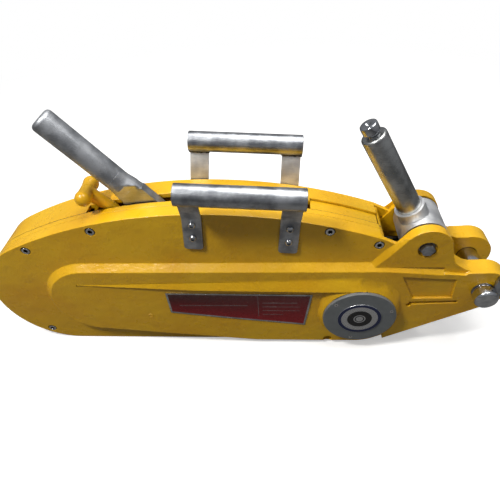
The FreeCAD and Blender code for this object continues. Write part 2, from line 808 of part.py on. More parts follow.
def casing_screws(side, reach):
    return group(*[socket_screw(point, side, half_width - screw_head_high, screw_head,
                                screw_head_high, screw_shank, reach, screw_shank)
                   for point in SCREWS])


keep(casing_screws(NEAR, half_width - screw_head_high - far_seam - 1), "near_casing_screws")
keep(casing_screws(FAR, half_width - screw_head_high - strip_edge - 2), "far_casing_screws")

cap_screw_head = size("cap_screw_head", 2.4, "radius of a hub cap screw's head")
cap_screw_ring = cap_radius - 5.5
CAP_HEAD_SUNK = 1.5
CAP_SCREWS = [(crank_x + cap_screw_ring * math.cos(math.radians(degrees)),
               crank_height + cap_screw_ring * math.sin(math.radians(degrees)))
              for degrees in (20, 140, 260)]

cap_screws = []
for side, word in ((NEAR, "near"), (FAR, "far")):
    cap = new_body(word + "_hub_cap")
    boss(cap, side, [crank], cap_radius, hub_face, cap_thick)
    outer_y = -side * float(hub_face + cap_thick)
    round_edges(cap, 1, lambda edge: abs(edge.BoundBox.Center.y - outer_y) < 0.1)
    bore(cap, side, CAP_SCREWS, cap_screw_head, hub_face + cap_thick - CAP_HEAD_SUNK, 2)
    bore(cap, side, CAP_SCREWS, cap_screw_head / 2, hub_face + cap_thick - CAP_HEAD_SUNK - 1, 2)
    keep(cap, word + "_hub_cap")
    keep(rod(badge_radius, hub_face + cap_thick, badge_thick, crank, side), word + "_cap_disc")
    cap_screws += [socket_screw(point, side, hub_face + cap_thick - CAP_HEAD_SUNK,
                                cap_screw_head, CAP_HEAD_SUNK, cap_screw_head / 2, 1,
                                cap_screw_head / 2)
                   for point in CAP_SCREWS]

    bush = new_body(word + "_crank_bush")
    boss(bush, side, [crank], bush_radius, wall_inner, hub_face - wall_inner)
    boss(bush, side, [crank], bush_radius + 5, wall_inner - 2.5, 2.5)
    bore(bush, side, [crank], crank_radius + run_gap, wall_inner - 3, hub_face - wall_inner + 4)
    keep(bush, word + "_crank_bush")
keep(group(*cap_screws), "hub_cap_screws")

# Blank name plate on the near side, under the rib.
PLATE_THICK = 0.8
name_plate = flat_plate(
    "name_plate", NEAR, panel_face, PLATE_THICK, (crank_x - 250, crank_height - 2),
    [((crank_x - 177, crank_height - 13),),
     ((crank_x - 69, crank_height - 27.5),),
     ((crank_x - 61, crank_height + 34),),
     ((crank_x - 251, crank_height + 37),),
     ((crank_x - 250, crank_height - 2),)])
keep(name_plate, "name_plate")

# Pin of the forward lever, with a hexagon head and a hexagon nut sunk in the ears.
seat = ear_outer - HEAD_SINK
HEX_HIGH = 6


def hexagon(side, radius):
    obj = doc.addObject("Part::Prism", "hexagon")
    obj.Polygon = 6
    bind(obj, "Circumradius", radius)
    obj.Height = HEX_HIGH
    return outwards(obj, side, lever_axis, seat)


lever_bolt = fuse(rod(lever_pin_radius, -seat, seat * 2, lever_axis),
                  hexagon(NEAR, lever_pin_radius - 0.7))
keep(lever_bolt, "lever_pin")
keep(hexagon(FAR, lever_pin_radius - 0.7), "lever_pin_nut")
keep(rod(reverse_pin_radius, -(wall_inner + PIVOT_SEAT), (wall_inner + PIVOT_SEAT) * 2,
         reverse_axis), "reverse_pivot")
keep(rod(release_pin_radius, -(wall_inner + PIVOT_SEAT), (wall_inner + PIVOT_SEAT) * 2,
         release_axis), "release_pivot")


# ---------------------------------------------------------------- anchor pin and keeper

neck_start = panel_face + 0.3
neck_end = neck_start + keeper_thick + 0.6
head_end = neck_end + 13
anchor_pin = turned("anchor_pin", [
    (anchor_pin_radius - 2, -panel_face - 4), (anchor_pin_radius, -panel_face - 2),
    (anchor_pin_radius, neck_start), (anchor_neck, neck_start), (anchor_neck, neck_end),
    (anchor_head, neck_end), (anchor_head, head_end - 2.5), (anchor_head - 2.5, head_end)])
keep(outwards(anchor_pin, NEAR, anchor, 0), "anchor_pin")

keeper = flat_plate(
    "keeper", NEAR, neck_start, keeper_thick, (keeper_axis[0] - half_keeper, keeper_axis[1]),
    [((keeper_axis[0] - half_keeper, keeper_axis[1] - keeper_long + half_keeper),),
     ((keeper_axis[0] + half_keeper, keeper_axis[1] - keeper_long + half_keeper),
      half_keeper, 1),
     ((keeper_axis[0] + half_keeper, keeper_axis[1]),),
     ((keeper_axis[0] - half_keeper, keeper_axis[1]), half_keeper, 1)])
bore(keeper, NEAR, [keeper_axis], keeper_shank + run_gap, neck_start - 1, keeper_thick + 2)
keep(keeper, "keeper")
keeper_head = neck_start + keeper_thick + 0.3
keep(fuse(rod(keeper_shank, panel_face - KEEPER_THREAD,
              keeper_head - panel_face + KEEPER_THREAD, keeper_axis),
          rod(keeper_shank + 2, keeper_head, 3, keeper_axis)), "keeper_screw")


# ---------------------------------------------------------------- carrying handles

def framed(base, where):
    """Wrap a piece so that it can be placed as a whole."""
    whole = doc.addObject("Part::Compound", "whole")
    whole.Links = [base]
    return where(whole)



def handle_place(obj, side):
    """Handle pieces are made about the middle of the tube, then stood on their side."""
    y = -grip_depth if side == NEAR else grip_depth
    return place(obj, grip_x, y, grip_height, Vector(0, 1, 0), grip_tilt)


strap_face = grip_depth - half_width
STRAP_SCREW_DROPS = (53.5, 73)
strap_screws = []
for side, word in ((NEAR, "near"), (FAR, "far")):
    tube = new_body(word + "_grip_tube")
    ring = sketch_on(tube, "YZ_Plane", grip_length / -2)
    circles(ring, [(0, 0)], grip_radius)
    circles(ring, [(0, 0)], grip_radius - grip_wall)
    tube_pad = tube.newObject("PartDesign::Pad", "tube")
    tube_pad.Profile = ring
    bind(tube_pad, "Length", grip_length)
    keep(handle_place(tube, side), word + "_grip_tube")

    straps = []
    for offset in (-strap_offset, strap_offset):
        strap = new_body(word + "_strap")
        profile = sketch_on(strap, "YZ_Plane", offset - strap_wide / 2)
        weld_y = grip_radius * 0.34 * side
        weld_z = -grip_radius * 0.94
        inner = strap_face * side
        outer = (strap_face - strap_thick) * side
        draw(profile, (inner, -strap_drop), [
            ((inner, -strap_bend),), ((weld_y, weld_z),),
            ((weld_y - strap_thick * 1.1 * side, weld_z - 0.5),),
            ((outer, -strap_bend - 1.5),), ((outer, -strap_drop),), ((inner, -strap_drop),)])
        strap_pad = strap.newObject("PartDesign::Pad", "strap")
        strap_pad.Profile = profile
        bind(strap_pad, "Length", strap_wide)
        low = -float(strap_drop)
        round_edges(strap, 4, lambda edge: abs(edge.BoundBox.ZMax - low) < 0.1
                    and edge.BoundBox.XLength < 0.1)
        round_tube = place(cylinder(grip_radius, strap_wide + 2), offset - strap_wide / 2 - 1,
                           0, 0, Vector(0, 1, 0), 90)
        straps.append(framed(cut(strap, round_tube), lambda whole: handle_place(whole, side)))
        for drop in STRAP_SCREW_DROPS:
            head = doc.addObject("Part::Sphere", "dome")
            bind(head, "Radius", strap_screw)
            head.Angle1 = 0
            flat = FreeCAD.Rotation(Vector(1, 0, 0), 90 * side)
            turn = FreeCAD.Rotation(Vector(0, 1, 0), float(grip_tilt))
            local = Vector(float(offset), float(outer), -drop)
            y = -grip_depth if side == NEAR else grip_depth
            where = Vector(float(grip_x), float(y), float(grip_height)) + turn.multVec(local)
            head.Placement = FreeCAD.Placement(where, turn.multiply(flat))
            strap_screws.append(head)
    keep(group(*straps), word + "_grip_straps")
keep(group(*strap_screws), "strap_screws")


# ---------------------------------------------------------------- crank shaft and rocker

def rocker_place(obj):
    """Rocker pieces are made upright about the crank shaft, then leant to their rest."""
    return place(obj, crank_x, 0, crank_height, Vector(0, 1, 0), rocker_angle)


def across(radius, depth, side, height=0):
    """A round bar across a lever or rocker, made in that piece's own frame."""
    y = -depth[1] if side == NEAR else depth[0]
    bar = cylinder(radius, depth[1] - depth[0])
    return place(bar, 0, y, height, Vector(1, 0, 0), -90)


def link_plate(name, side, depth, thick, high, low, radius):
    """A flat link with round ends at two heights, in its own frame."""
    body = new_body(name)
    draw_at = side_sketch(body, side, depth)
    draw(draw_at, (radius, low), [((radius, high),), ((-radius, high), radius, 1),
                                  ((-radius, low),), ((radius, low), radius, 1)])
    pad(body, draw_at, side, thick)
    return body


crank_end = hub_face - 1
crank_bar = cylinder(crank_radius, crank_end * 2)
keep(outwards(crank_bar, NEAR, crank, -crank_end), "crank_shaft")
hub_tube = cut(across(crank_radius + 6, (-plate_inner, plate_inner), FAR),
               across(crank_radius, (-plate_inner, plate_inner), FAR))
keep(framed(hub_tube, rocker_place), "rocker_hub")
rocker_pins = []
for side, word in ((NEAR, "near"), (FAR, "far")):
    rocker = link_plate(word + "_rocker", side, plate_inner, plate_thick, rocker_reach,
                        -rocker_reach, rocker_end)
    boss(rocker, side, [(0, 0)], crank_radius + 9, plate_inner, plate_thick)
    bore(rocker, side, [(0, 0)], crank_radius, plate_inner - 1, plate_thick + 2)
    keep(rocker_place(rocker), word + "_rocker_plate")
    for height in (-rocker_reach, rocker_reach):
        rocker_pins.append(across(drive_pin, (bar_inner - 0.5, plate_inner), side, height))
keep(framed(group(*rocker_pins), rocker_place), "rocker_pins")


# ---------------------------------------------------------------- sliding bars and jaws

fork_gap = 0.5
reverse_fork_gap = 1
reverse_swing = (reverse_tail * math.sin(math.radians(float(reverse_lean))))
fork_x = reverse_x + reverse_swing
lever_fork_x = lever_x + half_travel
slot_x = crank_x + half_travel
pin_rise = rocker_reach - (rocker_reach * rocker_reach - half_travel * half_travel).root()
upper_low = rope_height - 16
upper_high = rope_height + 36
fork_top = reverse_height - 21
fork_floor = reverse_height - reverse_tail - drive_pin - 1.5
fork_half = drive_pin + reverse_fork_gap
lever_floor = lever_height - lever_tail - drive_pin - 1
lever_half = drive_pin + fork_gap
slot_ends = drive_pin + fork_gap

rear_jaw_x = crank_x - 131
BAR_START = (fork_x - fork_half - 15, fork_floor - 7)
BAR = [
    ((rear_jaw_x - 14, fork_floor - 7),),
    ((rear_jaw_x - 6, upper_low),),
    ((lever_fork_x + lever_half + 7.5, upper_low),),
    ((lever_fork_x + lever_half + 7.5, upper_high),),
    ((lever_fork_x + lever_half, upper_high),),
    ((lever_fork_x + lever_half, lever_floor),),
    ((lever_fork_x - lever_half, lever_floor),),
    ((lever_fork_x - lever_half, upper_high),),
    ((fork_x + fork_half + 15, upper_high),),
    ((fork_x + fork_half + 15, fork_top),),
    ((fork_x + fork_half, fork_top),),
    ((fork_x + fork_half, fork_floor),),
    ((fork_x - fork_half, fork_floor),),
    ((fork_x - fork_half, fork_top),),
    ((fork_x - fork_half - 15, fork_top),),
    (BAR_START,),
]

link_slot_x = crank_x - half_travel
lower_low = crank_height - rocker_reach - 10
lower_high = crank_height - rocker_reach + 16
front_jaw_x = crank_x - 415
link_end = link_slot_x + drive_pin + fork_gap + 8
LINK_START = (front_jaw_x + 36, lower_low)
LINK = [
    ((link_end, lower_low),),
    ((link_end, lower_high),),
    ((front_jaw_x + jaw_length + 4, lower_high),),
    ((front_jaw_x + jaw_length + 20, rope_height - 22),),
    ((front_jaw_x + jaw_length + 20, upper_high),),
    ((front_jaw_x - 4, upper_high),),
    ((front_jaw_x - 4, rope_height - 22),),
    (LINK_START,),
]


def slotted_bar(name, side, start, steps, slot_middle, slot_low, slot_high):
    """A sliding bar with one upright slot for a rocker pin."""
    body = flat_plate(name, side, bar_inner, bar_thick, start, steps)
    left = slot_middle - drive_pin - fork_gap
    right = slot_middle + drive_pin + fork_gap
    sketch = side_sketch(body, side, bar_inner - 1)
    draw(sketch, (left, slot_low), [((right, slot_low),), ((right, slot_high),),
                                    ((left, slot_high),), ((left, slot_low),)])
    pocket(body, sketch, side, bar_thick + 2)
    return body


for side, word in ((NEAR, "near"), (FAR, "far")):
    upper_slot = crank_height + rocker_reach
    keep(slotted_bar(word + "_drive_bar", side, BAR_START, BAR, slot_x,
                     upper_slot - pin_rise - slot_ends - 0.5, upper_slot + slot_ends + 0.5),
         word + "_drive_bar")
    lower_slot = crank_height - rocker_reach
    keep(slotted_bar(word + "_link_bar", side, LINK_START, LINK, link_slot_x,
                     lower_slot - slot_ends, lower_slot + pin_rise + slot_ends + 0.5),
         word + "_link_bar")

jaw_slide_gap = 0.3
spring_room = 9
spring_radius = size("spring_radius", 5, "outer radius of a jaw spring")
spring_wire = size("spring_wire", 0.8, "wire radius of a jaw spring")
lower_top = rope_height - jaw_gap
upper_base = rope_height + jaw_gap
upper_top = upper_base + jaw_high
bridge_low = upper_top + spring_room
for place_x, word in ((rear_jaw_x, "rear"), (front_jaw_x, "front")):
    groove = place(cylinder(rope_radius, jaw_length + 2), place_x - 1, 0, rope_height,
                   Vector(0, 1, 0), 90)
    lower = box(place_x, -bar_inner, lower_top - jaw_high, jaw_length, bar_inner * 2, jaw_high)
    keep(cut(lower, groove), word + "_lower_jaw")
    jaw_half = bar_inner - jaw_slide_gap
    upper = box(place_x, -jaw_half, upper_base, jaw_length, jaw_half * 2, jaw_high)
    keep(cut(upper, groove), word + "_upper_jaw")
    bridge_x = place_x + jaw_length / 2 - 12
    keep(box(bridge_x, -bar_inner, bridge_low, 24, bar_inner * 2, upper_high - bridge_low),
         word + "_bridge")
    helix = doc.addObject("Part::Helix", "coil_line")
    bind(helix, "Radius", spring_radius - spring_wire)
    bind(helix, "Height", spring_room - spring_wire * 2 - 0.2)
    helix.Pitch = (spring_room - float(spring_wire) * 2 - 0.2) / 4
    wire = doc.addObject("Part::Circle", "coil_wire")
    bind(wire, "Radius", spring_wire)
    wire.Placement = FreeCAD.Placement(
        Vector(float(spring_radius - spring_wire), 0, 0), FreeCAD.Rotation(Vector(1, 0, 0), 90))
    coil = doc.addObject("Part::Sweep", "coil")
    coil.Sections = [wire]
    coil.Spine = (helix, ["Edge1"])
    coil.Solid = True
    coil.Frenet = True
    keep(place(coil, place_x + jaw_length / 2, 0, upper_top + spring_wire + 0.1),
         word + "_jaw_spring")


# ---------------------------------------------------------------- forward lever

def forward_place(obj):
    return place(obj, lever_x, 0, lever_height, Vector(0, 1, 0), -lever_lean)


SOCKET_FOOT = 14
SOCKET_TOP = 38
NECK_LONG = 5
KNOB_LONG = 9
socket_radius = shank_radius + 3.5
spigot_radius = shank_radius - 2


def upright(radius, low, high):
    return place(cylinder(radius, high - low), 0, 0, low)


hub_round = across(lever_hub, (-lever_hub_half, lever_hub_half), FAR)
tail_half = bar_inner - 3
tail_wide = drive_pin + 5
tail = fuse(box(-tail_wide, -tail_half, -lever_tail, tail_wide * 2, tail_half * 2, lever_tail),
            across(tail_wide, (-tail_half, tail_half), FAR, -lever_tail))
socket = upright(socket_radius, SOCKET_FOOT, SOCKET_TOP)
hub_block = cut(fuse(hub_round, tail, socket),
                across(lever_pin_radius + run_gap, (-lever_hub_half - 1, lever_hub_half + 1), FAR),
                across(drive_pin + run_gap, (-lever_hub_half - 1, lever_hub_half + 1), FAR,
                       -lever_tail),
                upright(spigot_radius, lever_pin_radius + 8, SOCKET_TOP + 1))
keep(framed(hub_block, forward_place), "forward_lever_hub")
keep(framed(across(drive_pin, (-bar_inner - bar_thick - 0.5, bar_inner + bar_thick + 0.5), FAR,
                   -lever_tail), forward_place), "forward_drive_pin")

shank = turned("forward_shank", [
    (spigot_radius, lever_pin_radius + 8), (spigot_radius, SOCKET_TOP),
    (shank_radius, SOCKET_TOP), (shank_radius, shank_top - 1.5),
    (shank_radius - 1.5, shank_top)])
keep(forward_place(shank), "forward_lever_shank")
knob_start = shank_top + NECK_LONG
knob = turned("forward_knob", [
    (knob_radius - 2.5, shank_top), (knob_radius - 2.5, knob_start), (knob_radius, knob_start),
    (knob_radius, knob_start + KNOB_LONG - 1.5), (knob_radius - 1.5, knob_start + KNOB_LONG)])
dimple = doc.addObject("Part::Cone", "dimple")
dimple.Radius1 = 0
dimple.Radius2 = 3
dimple.Height = 3
place(dimple, 0, 0, knob_start + KNOB_LONG - 2.5)
keep(framed(cut(knob, dimple), forward_place), "forward_lever_knob")


# ---------------------------------------------------------------- reverse lever

def reverse_place(obj):
    return place(obj, reverse_x, 0, reverse_height, Vector(0, 1, 0), -reverse_lean)


blade_end = tube_start - 16
HUB_EDGE = 20
TAIL_HALF = 11
blade = new_body("reverse_blade")
blade_sketch = side_sketch(blade, NEAR, -blade_half)
half_wide = blade_wide / 2
draw(blade_sketch, (TAIL_HALF, -reverse_tail), [
    ((HUB_EDGE, 0),), ((half_wide, HUB_EDGE),), ((half_wide, blade_end - 6),),
    ((half_wide - 6, blade_end),), ((-half_wide + 6, blade_end),),
    ((-half_wide, blade_end - 6),), ((-half_wide, HUB_EDGE),), ((-HUB_EDGE, 0),),
    ((-TAIL_HALF, -reverse_tail),), ((TAIL_HALF, -reverse_tail), TAIL_HALF, 1)])
pad(blade, blade_sketch, NEAR, blade_half * 2)
bore(blade, NEAR, [(0, 0)], reverse_pin_radius + run_gap, -blade_half - 1, blade_half * 2 + 2)
bore(blade, NEAR, [(0, -reverse_tail)], drive_pin, -blade_half - 1, blade_half * 2 + 2)
keep(reverse_place(blade), "reverse_lever_blade")
keep(framed(across(drive_pin, (-bar_inner - bar_thick - 0.5, bar_inner + bar_thick + 0.5), FAR,
                   -reverse_tail), reverse_place), "reverse_drive_pin")
ring_radius = shank_radius + 1.5
reverse_neck = turned("reverse_neck", [
    (shank_radius - 3, blade_end), (shank_radius - 3, tube_start - 8),
    (ring_radius, tube_start - 8), (ring_radius, tube_start - 1),
    (ring_radius - 1, tube_start)])
keep(reverse_place(reverse_neck), "reverse_lever_neck")
tube_end = tube_start + tube_length
CAP_LONG = 4
keep(framed(cut(upright(shank_radius, tube_start, tube_end - CAP_LONG),
                upright(shank_radius - 3, tube_start - 1, tube_end)), reverse_place),
     "reverse_lever_tube")
end_cap = turned("reverse_cap", [
    (shank_radius - 3, tube_end - CAP_LONG - 10), (shank_radius - 3, tube_end - CAP_LONG),
    (shank_radius, tube_end - CAP_LONG), (shank_radius, tube_end - 2.5),
    (shank_radius - 2.5, tube_end)])
keep(reverse_place(end_cap), "reverse_lever_cap")


# ---------------------------------------------------------------- release lever

def release_place(obj):
    return place(obj, release_x, 0, release_height, Vector(0, 1, 0), -release_lean)


arm_half = 8
arm = new_body("release_arm")
arm_sketch = side_sketch(arm, NEAR, -blade_half)
draw(arm_sketch, (arm_half, 0), [
    ((arm_half, release_reach),), ((-arm_half, release_reach), arm_half, 1),
    ((-arm_half, 0),), ((arm_half, 0), arm_half, 1)])
pad(arm, arm_sketch, NEAR, blade_half * 2)
boss(arm, NEAR, [(0, 0)], release_pin_radius + 7, -blade_half, blade_half * 2)
bore(arm, NEAR, [(0, 0)], release_pin_radius + run_gap, -blade_half - 1, blade_half * 2 + 2)
ball_radius = size("ball_radius", 9.5, "radius of the release lever's knob ends")
ball_half = size("ball_half", 15, "half the distance between those ends")
balls = []
for y in (-ball_half, ball_half):
    ball = doc.addObject("Part::Sphere", "ball")
    bind(ball, "Radius", ball_radius)
    balls.append(place(ball, 0, y, release_reach))
crossbar = across(ball_radius - 2, (-ball_half, ball_half), FAR, release_reach)
keep(framed(fuse(arm, crossbar, *balls), release_place), "release_lever")


# ---------------------------------------------------------------- checks and export

doc.recompute()
faults = [obj.Name for obj in doc.Objects if "Invalid" in obj.State or "Error" in obj.State]
for obj in parts:
    if obj.Shape.isNull() or not obj.Shape.isValid():
        faults.append(obj.Label)
if faults:
    raise RuntimeError("faulty: {}".format(", ".join(faults)))
os.makedirs("parts", exist_ok=True)
for obj in parts:
    obj.Shape.exportStep("parts/{}.step".format(obj.Label))
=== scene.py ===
"""Looks of a lever-operated wire rope puller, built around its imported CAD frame.

Everything is in metres in the frame of the CAD model: +X from the nose to the anchor clevis,
+Z up from the flat bottom, and the side with the name plate faces -Y.
"""

import json
import math
import random

import bmesh
import bpy
from mathutils import Matrix, Vector

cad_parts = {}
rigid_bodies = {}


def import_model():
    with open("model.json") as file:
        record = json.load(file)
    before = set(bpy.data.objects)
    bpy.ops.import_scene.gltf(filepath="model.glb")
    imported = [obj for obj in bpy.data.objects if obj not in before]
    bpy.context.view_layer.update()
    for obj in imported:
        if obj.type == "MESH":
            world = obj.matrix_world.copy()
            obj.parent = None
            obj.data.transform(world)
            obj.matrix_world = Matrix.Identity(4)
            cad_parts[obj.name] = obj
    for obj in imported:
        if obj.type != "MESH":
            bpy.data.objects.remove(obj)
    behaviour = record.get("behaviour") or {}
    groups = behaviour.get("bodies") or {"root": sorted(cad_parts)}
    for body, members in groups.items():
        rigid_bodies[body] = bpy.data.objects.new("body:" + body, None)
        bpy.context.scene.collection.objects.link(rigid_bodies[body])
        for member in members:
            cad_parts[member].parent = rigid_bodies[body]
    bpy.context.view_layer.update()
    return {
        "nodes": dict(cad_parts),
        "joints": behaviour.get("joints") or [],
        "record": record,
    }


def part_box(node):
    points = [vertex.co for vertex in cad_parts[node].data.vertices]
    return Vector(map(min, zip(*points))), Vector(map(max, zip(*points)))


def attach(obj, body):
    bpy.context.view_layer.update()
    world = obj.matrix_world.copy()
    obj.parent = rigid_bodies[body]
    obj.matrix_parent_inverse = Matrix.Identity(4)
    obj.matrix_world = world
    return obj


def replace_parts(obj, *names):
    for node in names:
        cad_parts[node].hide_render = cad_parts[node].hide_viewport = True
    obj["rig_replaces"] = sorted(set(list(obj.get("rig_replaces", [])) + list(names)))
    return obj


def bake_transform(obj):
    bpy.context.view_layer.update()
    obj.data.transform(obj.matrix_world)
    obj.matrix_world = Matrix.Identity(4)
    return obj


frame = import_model()
scene = bpy.context.scene
MM = 0.001
RECORD = frame["record"]
MOUNTS = {mount["name"]: mount for mount in RECORD["mounts"]}
PIVOTS = {joint["child"]: Vector(joint["pos_m"]) for joint in frame["joints"]
          if "pos_m" in joint}
BODY_OF = {node: body for body, nodes in RECORD["behaviour"]["bodies"].items()
           for node in nodes}
SLOT_OF = {part["node"]: part["material_slot"] for part in RECORD["subparts"]}
chance = random.Random(16)


# ------------------------------------------------------------------ camera, floor and light

def add_node(tree, kind, links=(), **settings):
    """A shader node with its settings. A link is (input, source), and a node given as the
    source stands for its first output; in_... sets an input and stops fills a colour ramp."""
    node = tree.nodes.new("ShaderNode" + kind)
    for name, value in settings.items():
        if name == "stops":
            ramp = node.color_ramp.elements
            while len(ramp) < len(value):
                ramp.new(0.5)
            for element, (position, colour) in zip(ramp, value):
                element.position, element.color = position, colour
        elif name.startswith("in_"):
            key = name[3:].replace("_", " ")
            node.inputs[int(key) if key.isdigit() else key].default_value = value
        else:
            setattr(node, name, value)
    for target, source in links:
        tree.links.new(getattr(source, "outputs", [source])[0], node.inputs[target])
    return node


def srgb(code):
    """A colour written as #RRGGBB, as the linear values that the shader takes."""
    channels = [int(code[i:i + 2], 16) / 255 for i in (1, 3, 5)]
    return tuple(c / 12.92 if c <= 0.04045 else ((c + 0.055) / 1.055) ** 2.4
                 for c in channels) + (1,)


CAMERA_PLACE = (0.05056, -0.41269, 0.53323)
CAMERA_DOWN, CAMERA_TURN, CAMERA_ROLL = 43.235, 5.594, -4.221
LENS, SENSOR = 31.55, 36


def set_camera():
    """A camera above the near side, looking down and slightly towards the nose."""
    camera = bpy.data.objects.new("camera", bpy.data.cameras.new("camera"))
    scene.collection.objects.link(camera)
    camera.data.sensor_width = SENSOR
    camera.data.lens = LENS
    camera.data.clip_start = 0.01
    camera.location = CAMERA_PLACE
    camera.rotation_euler = (
        Matrix.Rotation(math.radians(CAMERA_TURN), 3, "Z")
        @ Matrix.Rotation(math.pi / 2 - math.radians(CAMERA_DOWN), 3, "X")
        @ Matrix.Rotation(math.radians(CAMERA_ROLL), 3, "Z")).to_euler()
    scene.camera = camera


def add_lamp(name, place, aim, size, watts, tint):
    """A rectangular lamp at a place, turned to what it lights."""
    lamp = bpy.data.objects.new(name, bpy.data.lights.new(name, "AREA"))
    scene.collection.objects.link(lamp)
    lamp.data.shape = "RECTANGLE"
    lamp.data.size, lamp.data.size_y = size
    lamp.data.energy = watts
    lamp.data.color = tint
    lamp.location = place
    lamp.rotation_euler = (Vector(aim) - Vector(place)).to_track_quat("-Z", "Y").to_euler()


# Shares of the white background that metal and glossy paint mirror, and the radii in metres
# between which the floor fades from lit paper to pure white.
WORLD_MIRRORED, FLOOR_MIRRORED = 0.15, 0.05
FADE_FROM, FADE_TO = 0.55, 1.3
FLOOR_HALF = 6


def background_share(tree, mirrored_share):
    """How much of the white background a ray sees: all for the camera, part in reflections."""
    path = add_node(tree, "LightPath")
    mirrored = add_node(tree, "Math", [(0, path.outputs["Is Glossy Ray"]),
                                       (1, path.outputs["Is Transmission Ray"])],
                        operation="MAXIMUM")
    return add_node(tree, "Math", [(0, mirrored), (2, path.outputs["Is Camera Ray"])],
                    operation="MULTIPLY_ADD", in_1=mirrored_share)


def set_world():
    """White where the camera looks past the object; a dim room for light and reflections."""
    world = bpy.data.worlds.new("studio")
    world.use_nodes = True
    scene.world = world
    tree = world.node_tree
    tree.nodes.clear()
    where = add_node(tree, "TexCoord").outputs["Generated"]
    height = add_node(tree, "SeparateXYZ", [(0, where)]).outputs["Z"]
    level = add_node(tree, "MapRange", [("Value", height)], in_1=-1.0, in_2=1.0)
    room = add_node(tree, "ValToRGB", [("Fac", level)], stops=(
        (0.45, (0.035, 0.036, 0.04, 1)), (0.62, (0.10, 0.105, 0.115, 1)),
        (0.95, (0.26, 0.27, 0.29, 1))))
    lit = add_node(tree, "Background", [("Color", room)], in_Strength=1.0)
    shown = add_node(tree, "Background", in_Color=(1, 1, 1, 1), in_Strength=1.0)
    mix = add_node(tree, "MixShader", [(0, background_share(tree, WORLD_MIRRORED)), (1, lit),
                                       (2, shown)])
    add_node(tree, "OutputWorld", [("Surface", mix)])


def add_floor():
    """A floor that is white paper to the eye, keeps the shadow, and throws back little light."""
    work = bmesh.new()
    bmesh.ops.create_grid(work, x_segments=1, y_segments=1, size=FLOOR_HALF)
    floor = bpy.data.objects.new("floor", bpy.data.meshes.new("floor"))
    work.to_mesh(floor.data)
    work.free()
    scene.collection.objects.link(floor)
    paper = bpy.data.materials.new("floor_paper")
    paper.use_nodes = True
    tree = paper.node_tree
    tree.nodes.clear()
    white = add_node(tree, "BsdfDiffuse", in_Color=(0.9, 0.9, 0.9, 1))
    glow = add_node(tree, "Emission", in_Color=(1, 1, 1, 1), in_Strength=0.4)
    lit = add_node(tree, "AddShader", [(0, white), (1, glow)])
    where = add_node(tree, "TexCoord").outputs["Object"]
    away = add_node(tree, "VectorMath", [(0, where)], operation="LENGTH").outputs["Value"]
    fade = add_node(tree, "MapRange", [("Value", away)], in_1=FADE_FROM, in_2=FADE_TO)
    blank = add_node(tree, "Emission", in_Color=(1, 1, 1, 1), in_Strength=1.0)
    paper_white = add_node(tree, "MixShader", [(0, fade), (1, lit), (2, blank)])
    dim = add_node(tree, "BsdfDiffuse", in_Color=(0.10, 0.098, 0.095, 1))
    mix = add_node(tree, "MixShader", [(0, background_share(tree, FLOOR_MIRRORED)), (1, dim),
                                       (2, paper_white)])
    add_node(tree, "OutputMaterial", [("Surface", mix)])
    floor.data.materials.append(paper)


# ------------------------------------------------------------------ materials

def new_material(name, **sockets):
    """A principled material; its sockets are set by their names with _ for a space."""
    material = bpy.data.materials.new(name)
    material.use_nodes = True
    shader = material.node_tree.nodes["Principled BSDF"]
    for key, value in sockets.items():
        shader.inputs[key.replace("_", " ")].default_value = value
    return material, material.node_tree, shader


def feed(tree, shader, **sources):
    """Link nodes or sockets to the shader's inputs, named with _ for a space."""
    for key, source in sources.items():
        tree.links.new(getattr(source, "outputs", [source])[0],
                       shader.inputs[key.replace("_", " ")])


def marks(size_mm):
    """The noise scale at which one mark is this many millimetres across."""
    return 1 / (size_mm * MM)


SEAM_HALF = 0.4 * MM


